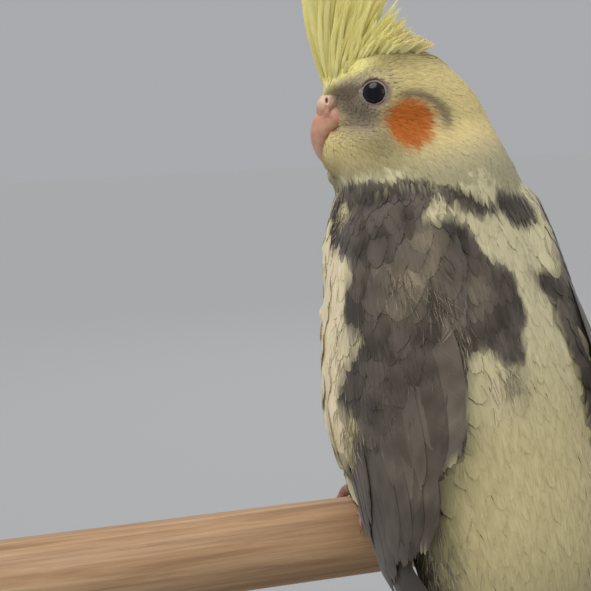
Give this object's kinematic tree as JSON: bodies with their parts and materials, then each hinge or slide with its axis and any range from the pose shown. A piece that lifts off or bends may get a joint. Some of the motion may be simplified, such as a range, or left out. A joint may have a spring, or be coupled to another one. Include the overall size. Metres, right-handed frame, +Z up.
{
  "type": "perched cockatiel",
  "caption": "Life-size still cockatiel with a raised crest, head turned to its left, gripping a cut wooden dowel held over a round base by two thin rods.",
  "frame": {"origin": "centre of the base's underside, straight below the middle of the perch", "axes": "+Z up, +Y the way the bird's breast faces, -X its left side; the head is turned 60 degrees to its left and the dowel 18 degrees clockwise seen from above"},
  "size_m": [0.2382, 0.208, 0.3616],
  "materials": {
    "head_plumage": "soft matt feathering, pale yellow with an orange cheek patch and grey-brown round the eye",
    "neck_plumage": "soft matt feathering, cream with a ragged lower edge over grey",
    "body_plumage": "soft matt feathering, cream patched with grey-brown",
    "crest_plumage": "narrow matt feathers, lemon yellow",
    "tail_plumage": "smooth vanes, pale yellow-cream washed with grey",
    "wing_plumage": "smooth vanes, grey-brown with cream-white patches at the edge",
    "thigh_plumage": "soft matt feathering, cream",
    "foot_skin": "scaly, dull pink",
    "eye_gloss": "wet gloss, near black",
    "cere_skin": "soft skin, pink",
    "bill_horn": "satin horn, pink",
    "perch_wood": "sanded and unvarnished, fine grain",
    "stand_board": "satin black lacquer",
    "stand_steel": "brushed"
  },
  "bodies": {
    "root": {"head": "head_plumage", "neck": "neck_plumage", "torso": "body_plumage", "crest": "crest_plumage", "tail": "tail_plumage", "wing_l": "wing_plumage", "wing_r": "wing_plumage", "leg_l": "thigh_plumage", "leg_r": "thigh_plumage", "foot_l": "foot_skin", "foot_r": "foot_skin", "eye_l": "eye_gloss", "eye_r": "eye_gloss", "cere": "cere_skin", "bill_upper": "bill_horn", "bill_lower": "bill_horn", "perch": "perch_wood", "stand_base": "stand_board", "stand_rod_l": "stand_steel", "stand_rod_r": "stand_steel"}
  },
  "joints": []
}
